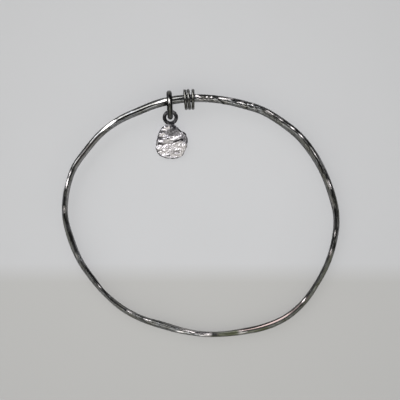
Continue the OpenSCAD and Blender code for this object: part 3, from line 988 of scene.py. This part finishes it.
@dataclass
class RoundRing:
    """A ring of round wire, closed with solder, modelled once lying flat and stood in its places.

    The painted highlight and the painted dark stretch are stretches of its outer side, in degrees from
    the seam; the dark cuts the highlight short. Its flanks' dark is partly oxide and partly painted
    dark reflection. Seam and solder are half widths in millimetres; depths, rise, wear and wobble are
    shares of the wire; the wear's spread is in radians.
    """

    mid: float
    wire: float
    skin: float
    painted_highlight: Span | None = None
    painted_dark_stretch: Span | None = None
    steps: int = 128
    around: int = 32
    seam: float = 0.07
    seam_depth: float = 0.05
    seam_skin: float = 0.8
    solder: float = 0.35
    solder_rise: float = 0.012
    wear: float = 0.03
    wear_spread: float = 0.5
    wobble: float = 0.008
    flank_oxide_and_painted_dark: Span = (0.28, 0.62)
    blotches: float = 0.25
    stretch_edge: float = 4.0
    highlight_across: float = 0.22
    painted_dark_across: float = 2.0

    def model(self) -> bpy.types.Object:
        """Makes the ring flat on the table from a torus: a solder seam, wear, a slight wobble.

        Returns:
            The flat ring.
        """
        deselect()
        bpy.ops.mesh.primitive_torus_add(
            major_segments=self.steps,
            minor_segments=self.around,
            major_radius=self.mid * MM,
            minor_radius=self.wire / 2 * MM,
        )
        obj = bpy.context.active_object
        points = read_points(obj)
        turn = np.arctan2(points[:, 1], points[:, 0])
        section = np.stack([np.hypot(points[:, 0], points[:, 1]) - self.mid, points[:, 2]], axis=1)
        flank = np.abs(section[:, 1]) / (self.wire / 2)
        arc = turn * self.mid
        line = np.exp(-((arc / self.seam) ** 2))
        fillet = np.exp(-((arc / self.solder) ** 2)) * (1 + 0.4 * np.sin(turn * 9))
        worn = np.exp(-(((np.abs(turn) - math.pi / 2) / self.wear_spread) ** 2)) * (section[:, 0] < 0)
        rise = self.solder_rise
        section *= (1 - self.seam_depth * line + rise * fillet - rise - self.wear * worn)[:, None]
        out = self.mid + section[:, 0] + self.wobble * self.wire * np.sin(turn * 3)
        write_points(obj, np.column_stack([out * np.cos(turn), out * np.sin(turn), section[:, 1]]))
        skin = Skin(len(points))
        # A dark base of oxide; the flanks darker still, partly oxide and partly painted dark reflection
        skin.lay(Tone.DARK, self.skin + (1 - self.skin) * step(flank, *self.flank_oxide_and_painted_dark))
        blotch = self.blotches * (1 + np.sin(turn * 5 + 1)) * (1 - flank) * 0.5
        skin.lay(Tone.DARK, self.seam_skin * line + blotch)
        # A painted highlight on one stretch, and painted dark that cuts it short on another
        face = np.degrees(turn) % 360
        edge = self.stretch_edge
        stretches = (
            (self.painted_highlight, Tone.BRIGHT, self.highlight_across),
            (self.painted_dark_stretch, Tone.DARK, self.painted_dark_across),
        )
        for stretch, tone, across in stretches:
            if stretch:
                inside = step(face, stretch[0] - edge, stretch[0] + edge)
                inside = inside * step(face, stretch[1] + edge, stretch[1] - edge) * (section[:, 0] > 0)
                skin.lay(tone, inside * step(flank, across, across / 4))
        skin.write(obj)
        return obj

    def stand(self, flat: bpy.types.Object, place: Place) -> None:
        """Stands a copy of the flat ring where its CAD node is.

        Args:
            flat: the ring as it was modelled.
            place: the copy's name, node, spin and lean, in degrees seen from above.
        """
        take(flat)
        bpy.ops.object.duplicate()
        ring = bpy.context.active_object
        ring.name = ring.data.name = place.name
        low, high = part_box(place.node)
        with editing(ring):
            for angle, axis in ((place.spin, "Z"), (90, "Y"), (-place.lean, "Z")):
                bpy.ops.transform.rotate(
                    value=math.radians(angle), orient_axis=axis, center_override=(0, 0, 0)
                )
            bpy.ops.transform.translate(value=(low + high) / 2)
        finish_piece(ring, place.node)


@dataclass
class Rings:
    """The jump ring that carries the charm, and the three small rings that slide on the wire."""

    jump: RoundRing
    small: RoundRing
    jump_place: Place = Place("hanging_ring", "jump_ring", 205, 3)
    small_places: tuple[Place, ...] = (
        Place("first_ring", "small_ring_1", 300, 5),
        Place("second_ring", "small_ring_2", 70, 5),
        Place("third_ring", "small_ring_3", 160, 0),
    )

    def build(self) -> None:
        """Makes each size of ring once and stands its copies on the hoop."""
        silver = RING.material()
        for ring, places in ((self.jump, (self.jump_place,)), (self.small, self.small_places)):
            flat = ring.model()
            flat.data.materials.append(silver)
            for place in places:
                ring.stand(flat, place)
            bpy.data.objects.remove(flat)


# The charm


@dataclass
class Charm:
    """The melted silver disc with its ring soldered on.

    The lean and the hang are those of the solid. Ridges, dark and bright are folds, pits and tones
    placed on its face after the photo. Waves are a size and a depth.
    """

    lean: float = 13.2094
    hang: tuple[float, float, float] = (-7.87976, 24.6859, 2.95553)
    disc_top: float = -1.75
    grain: float = 0.06
    ridges: tuple[Mark, ...] = strokes(
        (-1.54, -3.54, -2.24, -3.92, 0.55, 0.13), (-2.24, -3.92, -3.04, -3.97, 0.45, 0.1),
        (-2.23, -4.57, -2.44, -4.67, 0.9, -0.08), (-3.22, -5.42, -2.44, -5.12, 0.45, 0.1),
        (-2.44, -5.12, -1.54, -5.32, 0.35, 0.08), (-1.44, -5.22, -0.74, -5.37, 0.4, 0.1),
        (-2.05, -6.16, -2.05, -6.16, 1.6, -0.1), (-2.96, -7.09, -1.94, -7.27, 0.6, 0.13),
        (-1.94, -7.27, -1.02, -6.86, 0.6, 0.12), (-3.19, -8.97, -2.54, -8.72, 0.65, 0.14),
        (-2.54, -8.72, -1.94, -8.97, 0.5, 0.12), (-2.84, -8.07, -1.44, -7.87, 0.8, -0.07),
        (-2.44, -9.62, -0.94, -10.02, 0.9, -0.07), (0.27, -5.9, 2.86, -4.78, 0.75, -0.13),
        (0.53, -6.77, 2.86, -5.74, 0.6, 0.15), (-0.44, -7.02, 0.56, -6.82, 0.4, 0.07),
        (0.87, -9.21, 2.34, -8.76, 0.5, 0.1), (1.06, -8.62, 2.76, -8.22, 0.6, -0.05),
        (0.96, -9.72, 3.06, -9.32, 0.8, -0.06), (3.38, -4.57, 4.15, -6.03, 0.9, 0.1),
        (2.21, -3.11, 2.99, -4.31, 0.6, 0.08), (-0.44, -4.82, 1.16, -4.92, 0.3, 0.06),
        (-1.74, -4.92, -0.44, -4.72, 0.5, -0.07), (-0.24, -5.47, 0.46, -5.42, 0.3, 0.08),
        (1.16, -5.37, 1.56, -5.22, 0.25, 0.06), (0.14, -7.88, 0.26, -8.12, 0.3, 0.1),
        (-0.54, -7.72, -0.44, -8.02, 0.25, 0.07), (0.96, -7.72, 0.86, -8.12, 0.25, 0.07),
        (2.6, -7.88, 2.66, -7.97, 0.35, 0.09), (3.63, -7.75, 3.66, -7.82, 0.35, 0.09),
        (3.06, -7.22, 3.66, -6.92, 0.35, 0.06), (-0.37, -9.08, -0.37, -9.22, 0.4, 0.12),
        (-1.14, -8.72, -1.09, -8.92, 0.3, 0.07), (-0.24, -10.01, -0.14, -10.07, 0.4, 0.12),
        (1.44, -10.14, 1.31, -9.92, 0.35, 0.08), (2.16, -9.97, 2.06, -10.12, 0.3, 0.08),
    )
    # Dark tones on the face: partly patina, partly painted shade and painted dark reflections
    dark: tuple[Mark, ...] = strokes(
        (-0.24, -2.22, 1.06, -2.37, 1.1, 0.9), (1.36, -2.62, 1.66, -3.42, 1.3, 0.72),
        (0.56, -2.72, 0.52, -3.82, 2.0, 0.74), (0.36, -3.82, 0.16, -4.62, 1.4, 0.74),
        (1.46, -3.32, 2.16, -4.42, 1.3, 0.55), (-2.34, -3.67, -1.54, -3.57, 0.7, 0.85),
        (-2.44, -3.97, -1.04, -4.02, 0.7, 0.5), (-1.04, -4.62, -0.04, -4.82, 0.7, 0.4),
        (1.26, -4.62, 2.16, -4.72, 0.7, 0.5), (-2.74, -5.42, -0.94, -5.62, 0.7, 0.35),
        (3.0, -5.75, 1.1, -6.4, 0.95, 0.95), (1.06, -6.62, -0.44, -7.07, 0.7, 0.7),
        (-3.19, -8.67, -2.24, -8.82, 0.6, 0.85), (0.36, -9.07, 2.16, -8.87, 0.75, 0.75),
        (-1.14, -6.52, -0.24, -6.62, 0.5, 0.5), (-0.75, -5.36, -0.5, -5.38, 0.4, 0.75),
        (3.4, -4.62, 3.9, -6.02, 1.3, 0.5), (-3.15, -5.3, -2.2, -5.48, 0.9, 0.85),
        (-3.0, -6.78, -1.74, -7.07, 0.8, 0.85), (-1.74, -7.17, -1.04, -6.97, 0.5, 0.7),
        (-3.25, -8.95, -2.3, -9.05, 0.7, 0.9), (2.8, -6.95, 2.95, -6.85, 0.4, 0.5),
        (0.86, -9.22, 1.66, -9.02, 0.6, 0.4), (0.46, -9.62, 1.76, -9.92, 0.9, 0.25),
        (-1.15, -2.12, 1.2, -2.3, 0.55, 0.85), (-0.55, -3.4, -0.76, -4.57, 0.9, 0.6),
        (2.85, -4.45, 3.3, -5.1, 0.8, 0.45), (-0.42, -9.0, -0.3, -9.1, 0.35, 0.6),
        (-0.55, -9.95, -0.2, -9.95, 0.45, 0.8),
    )
    # Bright tones on the face: painted highlights
    bright: tuple[Mark, ...] = strokes(
        (-1.6, -8.2, 2.4, -7.8, 3.4, 0.35), (2.2, -7.4, 3.2, -8.4, 1.3, 0.6),
        (3.3, -8.4, 2.7, -9.8, 1.0, 0.85), (0.3, -9.75, 2.3, -9.95, 0.9, 0.7),
        (-2.7, -9.05, -1.3, -9.25, 0.9, 0.6), (-1.3, -8.45, -0.4, -8.45, 0.7, 0.85),
        (-1.6, -6.4, -0.6, -6.5, 0.6, 0.6), (-1.2, -5.9, -0.3, -6.0, 0.6, 0.5),
        (1.0, -7.5, 1.6, -7.3, 0.8, 0.7), (2.0, -6.65, 2.8, -6.4, 0.6, 0.6),
        (-2.6, -4.55, -1.7, -4.25, 0.6, 0.8), (-1.7, -3.1, -0.35, -2.5, 0.6, 0.8),
        (-0.4, -5.75, 0.8, -5.62, 0.45, 0.85), (0.4, -4.95, 1.6, -5.02, 0.5, 0.6),
        (0.5, -7.95, 1.9, -8.05, 0.6, 0.6), (-2.05, -9.22, -1.02, -9.08, 0.5, 0.8),
        (4.0, -7.2, 3.85, -8.1, 0.7, 0.6),
    )
    rim: float = 0.36
    middle: Span = (0.35, -6.2)
    broad_waves: Span = (1.2, 0.26)
    small_waves: Span = (0.55, 0.28)
    disc_blend: float = 0.5
    front_facing: Span = (0.3, 0.8)
    low_dark: Span = (0.03, 0.12)
    low_skin: float = 0.75
    neck_x: float = -0.1
    neck_squash: float = 2.0
    neck_dark: Span = (1.6, 1.2)
    neck_shadow_and_solder: float = 0.9
    ring_skin: float = 0.92
    rim_parts: int = 72

    def blank(self) -> bpy.types.Object:
        """Casts the plain form: the solid's own mesh, evenly meshed and softened.

        Returns:
            The plain charm.
        """
        deselect()
        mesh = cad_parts["charm"].data.copy()
        obj = bpy.data.objects.new("melted_charm", mesh)
        mesh.name = obj.name
        mesh.materials.clear()
        bpy.context.scene.collection.objects.link(obj)
        with editing(obj):
            bpy.ops.mesh.remove_doubles(threshold=1e-6)
        take(obj)
        remesh = obj.modifiers.new("even", "REMESH")
        remesh.mode = "VOXEL"
        remesh.voxel_size = self.grain * MM
        bpy.ops.object.modifier_apply(modifier="even")
        soften = obj.modifiers.new("soften", "SMOOTH")
        soften.factor = 0.5
        soften.iterations = 5
        bpy.ops.object.modifier_apply(modifier="soften")
        return obj

    def own(self, rows: np.ndarray) -> np.ndarray:
        """Turns rows of the frame's x, y and z into the charm's own, flat and upright."""
        a = math.radians(self.lean)
        y = rows[:, 1] * math.cos(a) + rows[:, 2] * math.sin(a)
        z = rows[:, 2] * math.cos(a) - rows[:, 1] * math.sin(a)
        return np.column_stack([rows[:, 0], y, z])

    def from_rim(self, own: np.ndarray) -> np.ndarray:
        """How far each point lies inside the disc's outline, seen from the front.

        Args:
            own: points in the charm's own place.

        Returns:
            Millimetres from the outline.
        """
        flat = own[:, :2] - np.array(self.middle)
        reach = np.hypot(flat[:, 0], flat[:, 1])
        turn = np.degrees(np.arctan2(flat[:, 1], flat[:, 0])) % 360
        wide = 360 / self.rim_parts
        edge = np.zeros(self.rim_parts)
        np.maximum.at(edge, (turn // wide).astype(int), reach)
        parts = np.arange(-1, self.rim_parts + 1)
        return np.interp(turn, parts * wide + wide / 2, edge[parts % self.rim_parts]) - reach

    def melt(self, obj: bpy.types.Object, group: str, name: str, size: float, depth: float) -> None:
        """Lets the disc's face run in waves.

        Args:
            obj: the charm.
            group: the points that run.
            name: the name of the waves.
            size: their size in millimetres.
            depth: their depth in millimetres.
        """
        waves = bpy.data.textures.new(name, "CLOUDS")
        waves.noise_scale = size * MM
        waves.noise_depth = 2
        take(obj)
        run = obj.modifiers.new(name, "DISPLACE")
        run.texture = waves
        run.vertex_group = group
        run.strength = depth * MM
        bpy.ops.object.modifier_apply(modifier=name)

    def build(self) -> None:
        """Makes the charm: cast, melted, wrinkled, pitted and darkened in its lows."""
        obj = self.blank()
        own = self.own(read_points(obj) - np.array(self.hang))
        on_disc = step(own[:, 1], self.disc_top, self.disc_top - self.disc_blend)
        group = obj.vertex_groups.new(name="disc")
        for level in range(1, 11):
            chosen = np.nonzero(np.round(on_disc * 10) == level)[0]
            group.add(chosen.tolist(), level / 10, "REPLACE")
        self.melt(obj, "disc", "broad_waves", *self.broad_waves)
        self.melt(obj, "disc", "small_waves", *self.small_waves)
        points = read_points(obj)
        normals = read_normals(obj)
        facing = self.own(normals)[:, 2]
        front = step(facing, *self.front_facing) * on_disc
        skin = Skin(len(points))
        low = np.zeros(len(points))
        for mark in self.ridges:
            low += mark.carve(off_line(own[:, :2], *mark.ends())) * front
        # Nothing sinks below the table, which the lower rim rests on
        melted = points - normals * low[:, None]
        melted[:, 2] = np.maximum(melted[:, 2], 0.0)
        write_points(obj, melted)
        # Partly patina, partly painted shade and painted dark reflections
        for mark in self.dark:
            skin.lay(Tone.DARK, mark.tint(off_line(own[:, :2], *mark.ends())) * front)
        # Painted highlights
        for mark in self.bright:
            skin.lay(Tone.BRIGHT, mark.tint(off_line(own[:, :2], *mark.ends())) * front)
        skin.lay(Tone.DARK, step(low, *self.low_dark) * self.low_skin)
        # A painted dark reflection along the disc's edge
        skin.lay(Tone.DARK, step(self.from_rim(own), self.rim, self.rim / 3) * on_disc)
        # Painted shadow under the bail, and darkened solder at the neck
        below_neck = (own[:, 1] - self.disc_top) * self.neck_squash
        off_neck = np.hypot(own[:, 0] - self.neck_x, below_neck)
        skin.lay(Tone.DARK, step(off_neck, *self.neck_dark) * self.neck_shadow_and_solder)
        skin.lay(Tone.DARK, (1 - on_disc) * self.ring_skin)
        skin.write(obj)
        obj.data.materials.append(MELTED.material())
        finish_piece(obj, "charm")


# The table, lights and camera


@dataclass(frozen=True)
class Lamp:
    """A soft rectangular light: where it stands, how wide and high it looks, and how bright it is.

    The azimuth is degrees counter-clockwise from +X, and the rise degrees above the table.
    """

    name: str
    azimuth: float
    rise: float
    width: float
    height: float
    glow: float


@dataclass
class Studio:
    """A pale table, soft lights round it, a room that is pale in front and dark above, the camera.

    The aim, the distance and the picture's width are millimetres; the reach and the table metres.
    """

    aim: tuple[float, float, float] = (-0.226, 3.372, 1.6)
    distance: float = 900.0
    frame_width: float = 103.4
    sensor: float = 36.0
    reach: float = 2.0
    table_size: float = 6.0
    table_cuts: int = 8
    room_dark: Colour = (0.035, 0.035, 0.04)
    room_pale: Colour = (0.44, 0.44, 0.41)
    room_seen: Colour = (0.6, 0.605, 0.61)
    room_front: Span = (-0.03, -0.12)
    lamps: tuple[Lamp, ...] = (
        Lamp("key", 130, 33, 55, 58, 4.6),
        Lamp("right_strip", 37, 53, 26, 14, 3.4),
        Lamp("far_strip", 74, 53, 20, 12, 3.0),
        Lamp("front", 270, 64, 22, 24, 1.45),
    )

    def hang(self, lamp: Lamp) -> None:
        """Hangs one lamp over the table, facing the bangle."""
        light = bpy.data.lights.new(lamp.name, "AREA")
        light.shape = "RECTANGLE"
        light.size = 2 * self.reach * math.tan(math.radians(lamp.width / 2))
        light.size_y = 2 * self.reach * math.tan(math.radians(lamp.height / 2))
        light.energy = lamp.glow * math.pi * light.size * light.size_y
        light.use_shadow = False
        obj = bpy.data.objects.new(lamp.name, light)
        bpy.context.scene.collection.objects.link(obj)
        a, r = math.radians(lamp.azimuth), math.radians(lamp.rise)
        way = Vector((math.cos(a) * math.cos(r), math.sin(a) * math.cos(r), math.sin(r)))
        obj.location = way * self.reach
        obj.rotation_mode = "QUATERNION"
        obj.rotation_quaternion = way.to_track_quat("Z", "Y")
        obj.visible_camera = False

    def room(self) -> None:
        """Sets the room round the table: pale in front, dark above and behind, pale to the eye."""
        world = bpy.data.worlds.new("room")
        bpy.context.scene.world = world
        world.use_nodes = True
        n = Nodes(world.node_tree)
        parts = n.add("ShaderNodeSeparateXYZ")
        n.join(n.add("ShaderNodeTexCoord").outputs["Generated"], parts.inputs["Vector"])
        front = n.ranged(parts.outputs["Y"], *self.room_front)
        lit = n.add("ShaderNodeBackground")
        n.join(n.blended(front, self.room_dark, self.room_pale), lit.inputs["Color"])
        seen = n.add("ShaderNodeBackground")
        seen.inputs["Color"].default_value = (*self.room_seen, 1)
        pick = n.add("ShaderNodeMixShader")
        n.join(n.add("ShaderNodeLightPath").outputs["Is Camera Ray"], pick.inputs[0])
        n.join(lit.outputs[0], pick.inputs[1])
        n.join(seen.outputs[0], pick.inputs[2])
        n.join(pick.outputs[0], n.add("ShaderNodeOutputWorld").inputs["Surface"])

    def build(self) -> None:
        """Sets the table, the lamps, the room and the camera."""
        deselect()
        bpy.ops.mesh.primitive_plane_add(size=self.table_size)
        table = bpy.context.active_object
        table.name = table.data.name = "table"
        with editing(table):
            bpy.ops.mesh.subdivide(number_cuts=self.table_cuts)
        table.data.materials.append(Paper().material())
        for lamp in self.lamps:
            self.hang(lamp)
        self.room()
        camera = bpy.data.cameras.new("camera")
        camera.sensor_width = self.sensor
        camera.lens = self.sensor * self.distance / self.frame_width
        camera.clip_start = 0.01
        eye = bpy.data.objects.new("camera", camera)
        bpy.context.scene.collection.objects.link(eye)
        eye.location = Vector(self.aim) * MM + Vector((0, 0, self.distance * MM))
        bpy.context.scene.camera = eye
        bpy.context.scene.view_settings.view_transform = "Standard"


def main() -> None:
    """Builds the bangle piece by piece, then its table and lights."""
    logging.basicConfig(level=logging.INFO, format="%(name)s: %(message)s")
    # The jump ring's painted highlight and the painted dark that cuts it short, in degrees from its
    # seam
    jump = RoundRing(mid=3.075, wire=1.45, skin=0.55, painted_highlight=(209, 225), painted_dark_stretch=(230, 250))
    small = RoundRing(mid=2.331, wire=0.8, skin=0.4)
    Hoop().build()
    Rings(jump, small).build()
    Charm().build()
    Studio().build()


if __name__ == "__main__":
    main()
